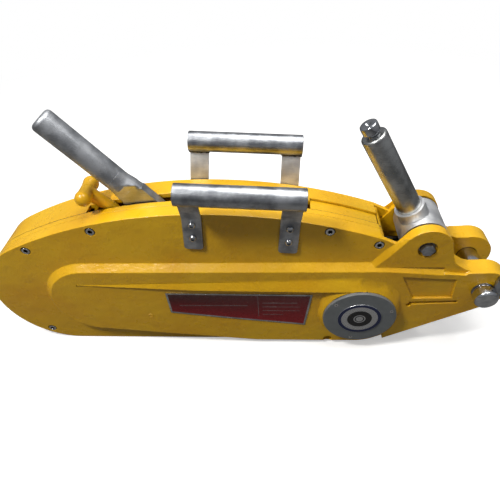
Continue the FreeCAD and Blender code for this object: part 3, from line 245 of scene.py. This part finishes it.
def cast_enamel(name, seams=()):
    """Yellow alkyd enamel, sprayed thick on sand-cast aluminium: a glossy coat that is softly
    pebbled by the sand grain, cloudy in tone, with painted shade in brown where two forms meet,
    small dark flecks, and dark lines at the seams between the castings, given by their Y."""
    material, tree, shader = new_material(name, Coat_Weight=0.3, Coat_Roughness=0.1)
    where = add_node(tree, "TexCoord").outputs["Object"]
    clouds = add_node(tree, "TexNoise", [("Vector", where)], in_Scale=marks(71.4286), in_Detail=4)
    tone = add_node(tree, "ValToRGB", [("Fac", clouds)], stops=(
        (0.32, srgb("#E3A90F")), (0.68, srgb("#EEBB1A"))))
    # Painted shade: the tone turns brown within 5 mm of other surfaces, where shade falls.
    near = add_node(tree, "AmbientOcclusion", samples=6, in_Distance=5 * MM)
    corner = add_node(tree, "MapRange", [("Value", near.outputs["AO"])], in_1=0.25, in_2=0.8,
                      in_3=0.75, in_4=0.0)
    flecks = add_node(tree, "TexNoise", [("Vector", where)], in_Scale=marks(3.0303), in_Detail=2)
    speck = add_node(tree, "MapRange", [("Value", flecks)], in_1=0.76, in_2=0.80, in_3=0.0,
                     in_4=0.55)
    # The brown mask holds the painted shade, the random dark flecks and, below, the seam lines.
    shade_flecks_seams = add_node(tree, "Math", [(0, corner), (1, speck)], operation="MAXIMUM")
    depth = add_node(tree, "SeparateXYZ", [(0, where)]).outputs["Y"]
    for seam in seams:
        line = add_node(tree, "Math", [(0, depth)], operation="COMPARE", in_1=seam,
                        in_2=SEAM_HALF)
        shade_flecks_seams = add_node(tree, "Math", [(0, shade_flecks_seams), (1, line)], operation="MAXIMUM")
    shaded_tone = add_node(tree, "Mix", [("Factor", shade_flecks_seams), (6, tone)], data_type="RGBA",
                     in_7=srgb("#553A0B"))
    gloss = add_node(tree, "TexNoise", [("Vector", where)], in_Scale=marks(16.6667))
    rough = add_node(tree, "MapRange", [("Value", gloss)], in_1=0.3, in_2=0.7, in_3=0.24,
                     in_4=0.38)
    grain = add_node(tree, "TexNoise", [("Vector", where)], in_Scale=marks(2.94118),
                     in_Detail=3, in_Roughness=0.55)
    waves = add_node(tree, "TexNoise", [("Vector", where)], in_Scale=marks(14.2857),
                     in_Detail=2)
    height = add_node(tree, "Math", [(0, grain), (2, waves)], operation="MULTIPLY_ADD",
                      in_1=0.5)
    skin = add_node(tree, "Bump", [("Height", height)], in_Strength=0.8, in_Distance=1.0 * MM)
    feed(tree, shader, Base_Color=shaded_tone.outputs[2], Roughness=rough, Normal=skin)
    return material


def worked_steel(name, low, high, along=(1, 0, 0), rough=(0.28, 0.42), streak=0.2,
                 corner_shade_colour="#3A362F"):
    """Worked steel, plated or oiled: fine lines along the way it was drawn or turned, a cloudy
    tone, and painted shade in a brownish colour where two forms meet. The real lines are under
    0.1 mm wide and are drawn coarser, so that they show."""
    material, tree, shader = new_material(name, Metallic=1.0)
    where = add_node(tree, "TexCoord").outputs["Object"]
    tilt = Vector(along).normalized().to_track_quat("X", "Z").inverted().to_euler()
    drawn = add_node(tree, "Mapping", [("Vector", where)], in_Rotation=tuple(tilt),
                     in_Scale=(0.04, 1, 1))
    lines = add_node(tree, "TexNoise", [("Vector", drawn)], in_Scale=marks(2 / 3), in_Detail=2)
    clouds = add_node(tree, "TexNoise", [("Vector", where)], in_Scale=marks(18.1818),
                      in_Detail=4, in_Roughness=0.6)
    mixed = add_node(tree, "Math", [(0, lines), (2, clouds)], operation="MULTIPLY_ADD",
                     in_1=streak)
    tone = add_node(tree, "ValToRGB", [("Fac", mixed)], stops=(
        (0.38 + streak / 2, srgb(low)), (0.62 + streak / 2, srgb(high))))
    # Painted shade: the tone darkens to the brownish colour within 4 mm of other surfaces.
    near = add_node(tree, "AmbientOcclusion", samples=6, in_Distance=4 * MM)
    corner = add_node(tree, "MapRange", [("Value", near.outputs["AO"])], in_1=0.2, in_2=0.8,
                      in_3=0.7, in_4=0.0)
    shaded_tone = add_node(tree, "Mix", [("Factor", corner), (6, tone)], data_type="RGBA",
                     in_7=srgb(corner_shade_colour))
    gloss = add_node(tree, "MapRange", [("Value", clouds)], in_1=0.3, in_2=0.7,
                     in_3=rough[0], in_4=rough[1])
    skin = add_node(tree, "Bump", [("Height", lines)], in_Strength=0.5,
                    in_Distance=0.06 * MM)
    feed(tree, shader, Base_Color=shaded_tone.outputs[2], Roughness=gloss, Normal=skin)
    return material


def sprayed_paint(name, code, rough, grain_mm=0.8, depth_mm=0.08):
    """Sprayed enamel on smooth metal, with a fine orange peel and slightly uneven gloss."""
    material, tree, shader = new_material(name)
    where = add_node(tree, "TexCoord").outputs["Object"]
    clouds = add_node(tree, "TexNoise", [("Vector", where)], in_Scale=marks(11.1111))
    tone = add_node(tree, "Mix", [("Factor", clouds)], data_type="RGBA",
                    in_6=tuple(0.8 * c for c in srgb(code)[:3]) + (1,),
                    in_7=tuple(1.2 * c for c in srgb(code)[:3]) + (1,))
    gloss = add_node(tree, "MapRange", [("Value", clouds)], in_1=0.3, in_2=0.7,
                     in_3=rough - 0.05, in_4=rough + 0.07)
    peel = add_node(tree, "TexNoise", [("Vector", where)], in_Scale=marks(grain_mm),
                    in_Detail=2)
    skin = add_node(tree, "Bump", [("Height", peel)], in_Strength=0.4,
                    in_Distance=depth_mm * MM)
    feed(tree, shader, Base_Color=tone.outputs[2], Roughness=gloss, Normal=skin)
    return material


BADGE_RADIUS = 28 * MM
BADGE_METAL, BADGE_BLACK, BADGE_BLUE = "#D6D8DC", "#17171A", "#101E48"
# The badge's rings from the middle out: where each starts as a share of the radius, its colour,
# and 1 for bare metal or 0 for print.
BADGE_RINGS = ((0.0, BADGE_METAL, 1), (0.17, BADGE_BLACK, 0), (0.22, BADGE_METAL, 1),
               (0.27, BADGE_BLACK, 0), (0.56, BADGE_METAL, 1), (0.83, BADGE_BLUE, 0),
               (0.985, BADGE_METAL, 1))


def badge_metal(name, centre):
    """Printed aluminium badge: a dark blue rim and a black middle on spun metal, with turning
    rings drawn coarser than the real ones, so that they show."""
    material, tree, shader = new_material(name, Metallic=1.0)
    where = add_node(tree, "TexCoord").outputs["Object"]
    flat = add_node(tree, "Mapping", [("Vector", where)], in_Scale=(1, 0, 1),
                    in_Location=(-centre.x, 0, -centre.z))
    reach = add_node(tree, "VectorMath", [(0, flat)], operation="LENGTH").outputs["Value"]
    part = add_node(tree, "MapRange", [("Value", reach)], in_1=0.0, in_2=BADGE_RADIUS)
    tone = add_node(tree, "ValToRGB", [("Fac", part)], stops=[
        (edge, srgb(code)) for edge, code, bare in BADGE_RINGS])
    printed = add_node(tree, "ValToRGB", [("Fac", part)], stops=[
        (edge, (bare, bare, bare, 1)) for edge, code, bare in BADGE_RINGS])
    for ramp in (tone, printed):
        ramp.color_ramp.interpolation = "CONSTANT"
    rings = add_node(tree, "TexNoise", [("W", reach)], noise_dimensions="1D",
                     in_Scale=marks(1 / 3), in_Detail=2)
    skin = add_node(tree, "Bump", [("Height", rings)], in_Strength=0.4,
                    in_Distance=0.05 * MM)
    gloss = add_node(tree, "MapRange", [("Value", rings)], in_1=0.3, in_2=0.7, in_3=0.22,
                     in_4=0.36)
    feed(tree, shader, Base_Color=tone, Metallic=printed, Roughness=gloss, Normal=skin)
    return material


set_camera()
set_world()
add_floor()
WARM = (1.0, 0.98, 0.94)
add_lamp("ceiling_left", (-0.73, -0.51, 1.48), (0, 0, 0.15), (0.22, 0.22), 17, WARM)
add_lamp("ceiling_rear", (0.25, 0.15, 1.6), (0, 0, 0.1), (1.3, 0.7), 17, WARM)
add_lamp("ceiling_front", (-0.36, -0.98, 1.35), (0, 0, 0.15), (0.06, 0.06), 0.5, WARM)
scene.view_settings.view_transform = "Standard"

reverse_way = MOUNTS["reverse_lever_end"]["axis"]
forward_way = MOUNTS["forward_lever_end"]["axis"]
MATERIALS = {
    "yellow_enamel": cast_enamel("yellow_enamel_on_casting",
                                 [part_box("near_shell")[1].y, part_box("middle_frame")[1].y]),
    "zinc_plate": worked_steel("bright_zinc_plate", "#8B8E94", "#BFC2C7"),
    "dark_steel": worked_steel("oiled_dark_steel", "#35332F", "#5A5852", rough=(0.35, 0.5)),
    "jaw_steel": worked_steel("ground_jaw_steel", "#4A4A4A", "#77787A"),
    "spring_steel": worked_steel("blued_spring_steel", "#33343A", "#50525A"),
    # Bright metal for the casing screws' top faces, a painted highlight.
    "bright_screw": worked_steel("screw_tops_painted_highlight", "#C4C4C4", "#E8E8E8", rough=(0.1, 0.2)),
    "grey_cap": sprayed_paint("grey_satin_paint", "#74787A", 0.36),
    "spun_disc": badge_metal("printed_badge", PIVOTS["crank"]),
    "red_plate": sprayed_paint("dark_red_enamel", "#6A1418", 0.26),
    "bronze": worked_steel("bearing_bronze", "#8A6636", "#B98C4C"),
}
REVERSE_STEEL = worked_steel("turned_reverse_lever", "#A2A5AA", "#C2C5CA", reverse_way,
                             (0.42, 0.54), 0.5)
FORWARD_STEEL = worked_steel("turned_forward_lever", "#A0A2A2", "#C4C6C6", forward_way,
                             (0.26, 0.36), 0.5)
POLISHED = worked_steel("polished_hub_steel", "#AEB1B6", "#DADCE0", (0, 1, 0), (0.1, 0.2))
# A lighter copy of the zinc plate, a painted sheen: the far straps look lit and the hub bright.
SHEEN_LIGHT_ZINC = worked_steel("zinc_lightened_for_sheen", "#D8DADD", "#F0F1F2", (0, 0, 1), (0.45, 0.6))
BARE_METAL = worked_steel("bare_plate_border", "#A9ABAE", "#D2D4D6", rough=(0.2, 0.32))
WELD = worked_steel("oxidised_weld", "#1D1A18", "#6E6961", rough=(0.35, 0.6), streak=0.6)


# ------------------------------------------------------------------ mesh helpers

# Edges sharper than these angles stay sharp in the shading, or get rounded off.
SHARP_SHADING = math.radians(38)
SHARP_EDGE = math.radians(32)


def new_piece(name, work, node, *materials, rides=True):
    """Turn a bmesh into a shown piece with a CAD node's slot, riding with its body."""
    mesh = bpy.data.meshes.new(name)
    work.to_mesh(mesh)
    work.free()
    piece = bpy.data.objects.new(name, mesh)
    scene.collection.objects.link(piece)
    for material in materials or [MATERIALS[SLOT_OF[node]]]:
        mesh.materials.append(material)
    mesh.shade_smooth()
    mesh.set_sharp_from_angle(angle=SHARP_SHADING)
    if rides:
        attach(piece, BODY_OF[node])
    return piece


def merged_copy(node):
    """A node's mesh with its triangles joined and its flat faces made whole."""
    work = bmesh.new()
    work.from_mesh(frame["nodes"][node].data)
    bmesh.ops.remove_doubles(work, verts=work.verts, dist=2e-6)
    bmesh.ops.dissolve_limit(work, angle_limit=math.radians(0.8), verts=work.verts,
                             edges=work.edges, use_dissolve_boundaries=False)
    return work


def softened(node, radius, *materials, clamp=True, paint=None, rides=True):
    """A node with its sharp edges rounded, shown in the node's place.

    paint gives a face's material number from its centre."""
    work = merged_copy(node)
    sharp = [edge for edge in work.edges if len(edge.link_faces) == 2
             and edge.calc_face_angle(0) > SHARP_EDGE]
    bmesh.ops.bevel(work, geom=sharp, offset=radius, offset_type="OFFSET", affect="EDGES",
                    segments=2, profile=0.5, material=-1, clamp_overlap=clamp)
    if paint:
        for face in work.faces:
            face.material_index = paint(face.calc_center_median())
    piece = new_piece(node + "_piece", work, node, *materials, rides=rides)
    weight = piece.modifiers.new("flat_faces_first", "WEIGHTED_NORMAL")
    weight.keep_sharp = True
    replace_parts(piece, node)
    return piece


def middle(node):
    """The middle of a node's box."""
    low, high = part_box(node)
    return (low + high) / 2


def gather(works):
    """Several bmeshes as one."""
    whole = bmesh.new()
    for work in works:
        mesh = bpy.data.meshes.new("part")
        work.to_mesh(mesh)
        work.free()
        whole.from_mesh(mesh)
        bpy.data.meshes.remove(mesh)
    return whole


def spun(profile, place, steps=64):
    """A turned form about the local Z axis; the profile lists (radius, height) in mm."""
    work = bmesh.new()
    last = bmesh.ops.create_vert(work, co=(profile[0][0] * MM, 0, profile[0][1] * MM))["vert"][0]
    for radius, height in profile[1:]:
        last = bmesh.ops.extrude_vert_indiv(work, verts=[last])["verts"][0]
        last.co = (radius * MM, 0, height * MM)
    bmesh.ops.spin(work, geom=work.verts[:] + work.edges[:], axis=(0, 0, 1), cent=(0, 0, 0),
                   angle=math.tau, steps=steps, use_merge=True)
    bmesh.ops.remove_doubles(work, verts=work.verts, dist=1e-7)
    bmesh.ops.recalc_face_normals(work, faces=work.faces)
    bmesh.ops.transform(work, matrix=place, verts=work.verts)
    return work


def lever_frame(body, way):
    """Stands a form made about a lever's pivot along the lever."""
    way, across = Vector(way), Vector((0, 1, 0))
    turn = Matrix((across.cross(way), across, way)).transposed().to_4x4()
    return Matrix.Translation(PIVOTS[body]) @ turn


def facing(place, side):
    """Stands a form made along Z on a side wall, pointing outwards to side * Y."""
    turn = Vector((0, side, 0)).to_track_quat("Z", "Y").to_matrix().to_4x4()
    return Matrix.Translation(place) @ turn


def islands(node):
    """Lowest and highest corner of each separate solid in a node, in a fixed order."""
    work = merged_copy(node)
    left, found = set(work.verts), []
    while left:
        front, group = [left.pop()], []
        while front:
            vert = front.pop()
            group.append(vert.co.copy())
            for edge in vert.link_edges:
                other = edge.other_vert(vert)
                if other in left:
                    left.discard(other)
                    front.append(other)
        found.append((Vector(min(c[i] for c in group) for i in range(3)),
                      Vector(max(c[i] for c in group) for i in range(3))))
    work.free()
    return sorted(found, key=lambda pair: [round(v, 5) for v in pair[0]])


# ------------------------------------------------------------------ levers

REVERSE = lever_frame("reverse_lever", reverse_way)
FORWARD = lever_frame("forward_lever", forward_way)

# Round bar of the reverse lever, with a worn round end and a fine groove near its foot.
bar = new_piece("reverse_lever_bar", spun(
    [(0, 84), (13.9, 84), (14, 98), (13.75, 98.2), (13.75, 98.8), (14, 99), (14, 187.2),
     (13.8, 188.6), (13.1, 190.2), (11.9, 191.4), (10.2, 192.1), (8.0, 192.4), (0, 192.5)],
    REVERSE), "reverse_lever_tube", REVERSE_STEEL)
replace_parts(bar, "reverse_lever_tube", "reverse_lever_cap")


def worked_down(place, sections, segments=72):
    """A round bar worked down to a flat; a section is (height, half width, half thickness,
    radius) in mm, and its outline is what all three leave."""
    work = bmesh.new()
    ring = bmesh.ops.create_circle(work, segments=segments, radius=1)["verts"]
    angles = [math.atan2(vert.co.y, vert.co.x) for vert in ring]
    edges = work.edges[:]
    for number, (height, wide, thick, radius) in enumerate(sections):
        if number:
            grown = bmesh.ops.extrude_edge_only(work, edges=edges)["geom"]
            edges = [item for item in grown if isinstance(item, bmesh.types.BMEdge)
                     and all(vert in grown for vert in item.verts)]
            fresh = [item for item in grown if isinstance(item, bmesh.types.BMVert)]
            ring = sorted(fresh, key=lambda vert: math.atan2(vert.co.y, vert.co.x))
            angles = [math.atan2(vert.co.y, vert.co.x) for vert in ring]
        for vert, angle in zip(ring, angles):
            reach = min(wide / max(abs(math.cos(angle)), 1e-6),
                        thick / max(abs(math.sin(angle)), 1e-6), radius) * MM
            vert.co = (reach * math.cos(angle), reach * math.sin(angle), height * MM)
    bmesh.ops.holes_fill(work, edges=work.edges[:], sides=0)
    bmesh.ops.recalc_face_normals(work, faces=work.faces)
    bmesh.ops.transform(work, matrix=place, verts=work.verts)
    return work


shoulder = new_piece("reverse_lever_shoulder", worked_down(REVERSE, [
    (56, 17.05, 6.05, 17.3), (66, 17.05, 6.05, 17.3), (74, 16.2, 6.4, 16.3)]
    + [(74 + 1.5 * k, 16.2 - 0.22 * k, 6.4 + 0.8 * k, 16.3 - 0.25 * k) for k in range(1, 10)]
    + [(90, 14.02, 14.02, 14.02)]), "reverse_lever_neck", REVERSE_STEEL)
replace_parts(shoulder, "reverse_lever_neck")

# Turned bar of the forward lever with its lit shoulder, and the locking knob with its dimple.
shank = new_piece("forward_lever_bar", spun(
    [(0, 20), (12, 20), (12, 38.2), (14, 38.2), (14, 142.6), (13.7, 143.6), (12.2, 144.9),
     (11.6, 145), (0, 145)], FORWARD), "forward_lever_shank", FORWARD_STEEL)
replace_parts(shank, "forward_lever_shank")
knob = new_piece("forward_lever_button", spun(
    [(0, 144.5), (7.6, 144.5), (7.6, 146), (6.4, 146.4), (6.4, 148.8), (7.2, 149.4),
     (8.7, 149.5), (9.5, 150.3), (9.5, 157.4), (9.2, 158.3), (8.2, 159), (3.6, 159),
     (3.1, 158.8), (0.6, 156.6), (0, 156.5)], FORWARD), "forward_lever_knob", POLISHED)
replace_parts(knob, "forward_lever_knob")

# The release lever is one soft casting: an arm that grows out of two joined balls.
BALL = 9.5 * MM
ARM_STEPS, ARM_SWAY = 18, 4.0 * MM
# Places along the crossbar and the bar's radii there, in mm.
CROSSBAR = ((-15, 9.5), (-11, 8.9), (-7, 8.5), (-3, 8.4), (3, 8.4), (7, 8.5), (11, 8.9),
            (15, 9.5))
low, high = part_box("release_lever")
ball_x, ball_z = low.x + BALL, high.z - BALL
release_arm = Vector((ball_x, 0, ball_z)) - PIVOTS["release_lever"]
sideways = Vector((release_arm.z, 0, -release_arm.x)).normalized()


def egg(spot, *radii):
    """A ball with its three radii in mm, at a place."""
    work = bmesh.new()
    bmesh.ops.create_uvsphere(work, u_segments=24, v_segments=14, radius=MM)
    bmesh.ops.transform(work, verts=work.verts, matrix=Matrix.Translation(spot)
                        @ Matrix.Diagonal((*radii, 1)))
    return work


lumps = []
for step in range(ARM_STEPS + 1):
    share = step / ARM_STEPS
    thick, wide = 6.0 + 2.6 * share ** 2, 10.5 - 2.2 * share
    bend = sideways * (ARM_SWAY * math.sin(share * math.pi) ** 2)
    lumps.append(egg(PIVOTS["release_lever"] + release_arm * share + bend, wide, thick, wide))
for y, radius in CROSSBAR:
    lumps.append(egg(Vector((ball_x, y * MM, ball_z)), radius, radius, radius))
release = new_piece("release_lever_casting", gather(lumps), "release_lever",
                    cast_enamel("yellow_enamel_on_lever"))
skin = release.modifiers.new("one_skin", "REMESH")
skin.mode = "VOXEL"
skin.voxel_size = 0.8 * MM
skin.use_smooth_shade = True
flow = release.modifiers.new("soft_joins", "SMOOTH")
flow.factor = 0.5
flow.iterations = 9
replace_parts(release, "release_lever")


# ------------------------------------------------------------------ screws, welds and plate

DOME = [(0, 1.9), (1.7, 1.9), (2.0, 3.4), (2.6, 3.3), (3.5, 2.5), (4.2, 1.3), (4.5, 0.3),
        (4.5, 0), (0, 0)]
domes = []
for low, high in islands("strap_screws"):
    side = 1 if low.y > 0 else -1
    foot = Vector(((low.x + high.x) / 2, low.y if side > 0 else high.y, (low.z + high.z) / 2))
    domes.append(spun(DOME, facing(foot, side), 32))
dome_screws = new_piece("strap_dome_screws", gather(domes), "strap_screws", POLISHED)
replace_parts(dome_screws, "strap_screws")

# Weld beads on both sides of each strap, laid along the underside of its tube.
GRIP_TILT = math.radians(4)
STRAP_HALF, STRAP_PLACE = 11.25, 55.5
WELD_LINES = ((-5.4, -10.9), (1.0, -12.2))
DROPS = 11
for word, side in (("near", -1), ("far", 1)):
    beads = []
    frame_of_grip = (Matrix.Translation(middle(word + "_grip_tube"))
                     @ Matrix.Rotation(GRIP_TILT, 4, "Y"))
    for offset in (-STRAP_PLACE, STRAP_PLACE):
        for y, z in WELD_LINES:
            for step in range(DROPS):
                along = offset + STRAP_HALF * (2 * step / (DROPS - 1) - 1) * 0.97
                drop = bmesh.new()
                bmesh.ops.create_icosphere(drop, subdivisions=2, radius=MM)
                spot = Vector((along, y * side + chance.uniform(-0.3, 0.3),
                               z + chance.uniform(-0.3, 0.3))) * MM
                grow = chance.uniform(1.5, 2.1)
                bmesh.ops.transform(drop, verts=drop.verts, matrix=frame_of_grip
                                    @ Matrix.Translation(spot)
                                    @ Matrix.Diagonal((grow, grow * 0.9, grow * 0.8, 1)))
                beads.append(drop)
    new_piece(word + "_weld_beads", gather(beads), word + "_grip_straps", WELD)

# The name plate has a bare metal border, a sunk red field and fine ruled lines, all blank.
PLATE_BORDER, PLATE_SUNK = 2.2 * MM, 0.2 * MM
# Each rule runs between two points, given as shares of the plate's width and height.
RULES = (((0.63, 0.28), (0.632, 0.94)), ((0.66, 0.70), (0.90, 0.71)),
         ((0.66, 0.58), (0.92, 0.588)), ((0.66, 0.46), (0.92, 0.468)),
         ((0.66, 0.34), (0.80, 0.348)), ((0.08, 0.62), (0.56, 0.628)))
plate = merged_copy("name_plate")
front = min(plate.faces, key=lambda face: face.normal.y * face.calc_area())
bmesh.ops.inset_region(plate, faces=[front], thickness=PLATE_BORDER, use_even_offset=True)
bmesh.ops.inset_region(plate, faces=[front], thickness=PLATE_SUNK, depth=-PLATE_SUNK,
                       use_even_offset=True)
front.material_index = 1
plate_piece = new_piece("name_plate_piece", plate, "name_plate", BARE_METAL,
                        MATERIALS["red_plate"])
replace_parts(plate_piece, "name_plate")
plate_low, plate_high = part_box("name_plate")
rules = []
for ends in RULES:
    a, b = (Vector((plate_low.x + (plate_high.x - plate_low.x) * u, 0,
                    plate_low.z + (plate_high.z - plate_low.z) * v)) for u, v in ends)
    rule = bmesh.new()
    bmesh.ops.create_cube(rule, size=1)
    size = b - a
    bmesh.ops.transform(rule, verts=rule.verts, matrix=Matrix.Translation(
        ((a.x + b.x) / 2, plate_low.y + PLATE_SUNK, (a.z + b.z) / 2))
        @ Matrix.Diagonal((size.x, 0.15 * MM, size.z, 1)))
    rules.append(rule)
new_piece("name_plate_rules", gather(rules), "name_plate", BARE_METAL)

# A round mould mark stands on the lower part of each raised panel.
MARK_X, MARK_Z = -0.129, 0.062
CAP_PROUD = 11.5 * MM
MARK_RING = [(2.6, -0.3), (2.9, 0.35), (3.3, 0.35), (3.6, -0.3), (2.6, -0.3)]
for word, side in (("near", -1), ("far", 1)):
    panel_y = side * (abs(middle(word + "_cap_disc").y) - CAP_PROUD)
    mark = spun(MARK_RING, facing(Vector((MARK_X, panel_y, MARK_Z)), side), 40)
    new_piece(word + "_mould_mark", mark, word + "_shell")


# ------------------------------------------------------------------ all other nodes

HEAD_TOP = 0.6 * MM


def lit_screw_tops(node):
    """Paints the top faces of a row of screws with the second material, a painted highlight."""
    low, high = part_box(node)
    top = max(abs(low.y), abs(high.y)) - HEAD_TOP
    return lambda place: 1 if abs(place.y) > top else 0


DONE = {name for piece in scene.objects for name in piece.get("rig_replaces", [])}
CASTINGS = ("near_shell", "far_shell", "middle_frame")
# Radii of the rounded edges in mm; every other node gets the common one.
COMMON_ROUNDING = 0.5
ROUNDING = {"near_shell": 0.8, "far_shell": 0.8, "middle_frame": 0.6, "forward_lever_hub": 2.2,
            "anchor_pin": 1.0, "near_casing_screws": 0.4, "far_casing_screws": 0.4,
            "hub_cap_screws": 0.3, "reverse_lever_blade": 1.6}
# The far straps and the forward lever's hub wear the lightened zinc as a painted sheen.
COATS = {"far_grip_straps": [SHEEN_LIGHT_ZINC], "forward_lever_hub": [SHEEN_LIGHT_ZINC], "anchor_pin": [POLISHED],
         "reverse_lever_blade": [REVERSE_STEEL],
         "near_casing_screws": [MATERIALS["dark_steel"], MATERIALS["bright_screw"]],
         "far_casing_screws": [MATERIALS["dark_steel"], MATERIALS["bright_screw"]]}
# The casing screws' top faces take the bright metal as a painted highlight.
PAINT = {name: lit_screw_tops(name) for name in ("near_casing_screws", "far_casing_screws")}
SPRINGS = {"rear_jaw_spring": "rear_jaw", "front_jaw_spring": "front_jaw"}
for node in sorted(set(frame["nodes"]) - DONE):
    piece = softened(node, ROUNDING.get(node, COMMON_ROUNDING) * MM, *COATS.get(node, []),
                     paint=PAINT.get(node), clamp=node not in CASTINGS,
                     rides=node not in SPRINGS)
    if node in SPRINGS:
        # In the puller the coil's foot rises with its jaw and its top stays; here it does not
        # ride with its jaw, and its place is baked into its mesh.
        low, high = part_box(node)
        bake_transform(piece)
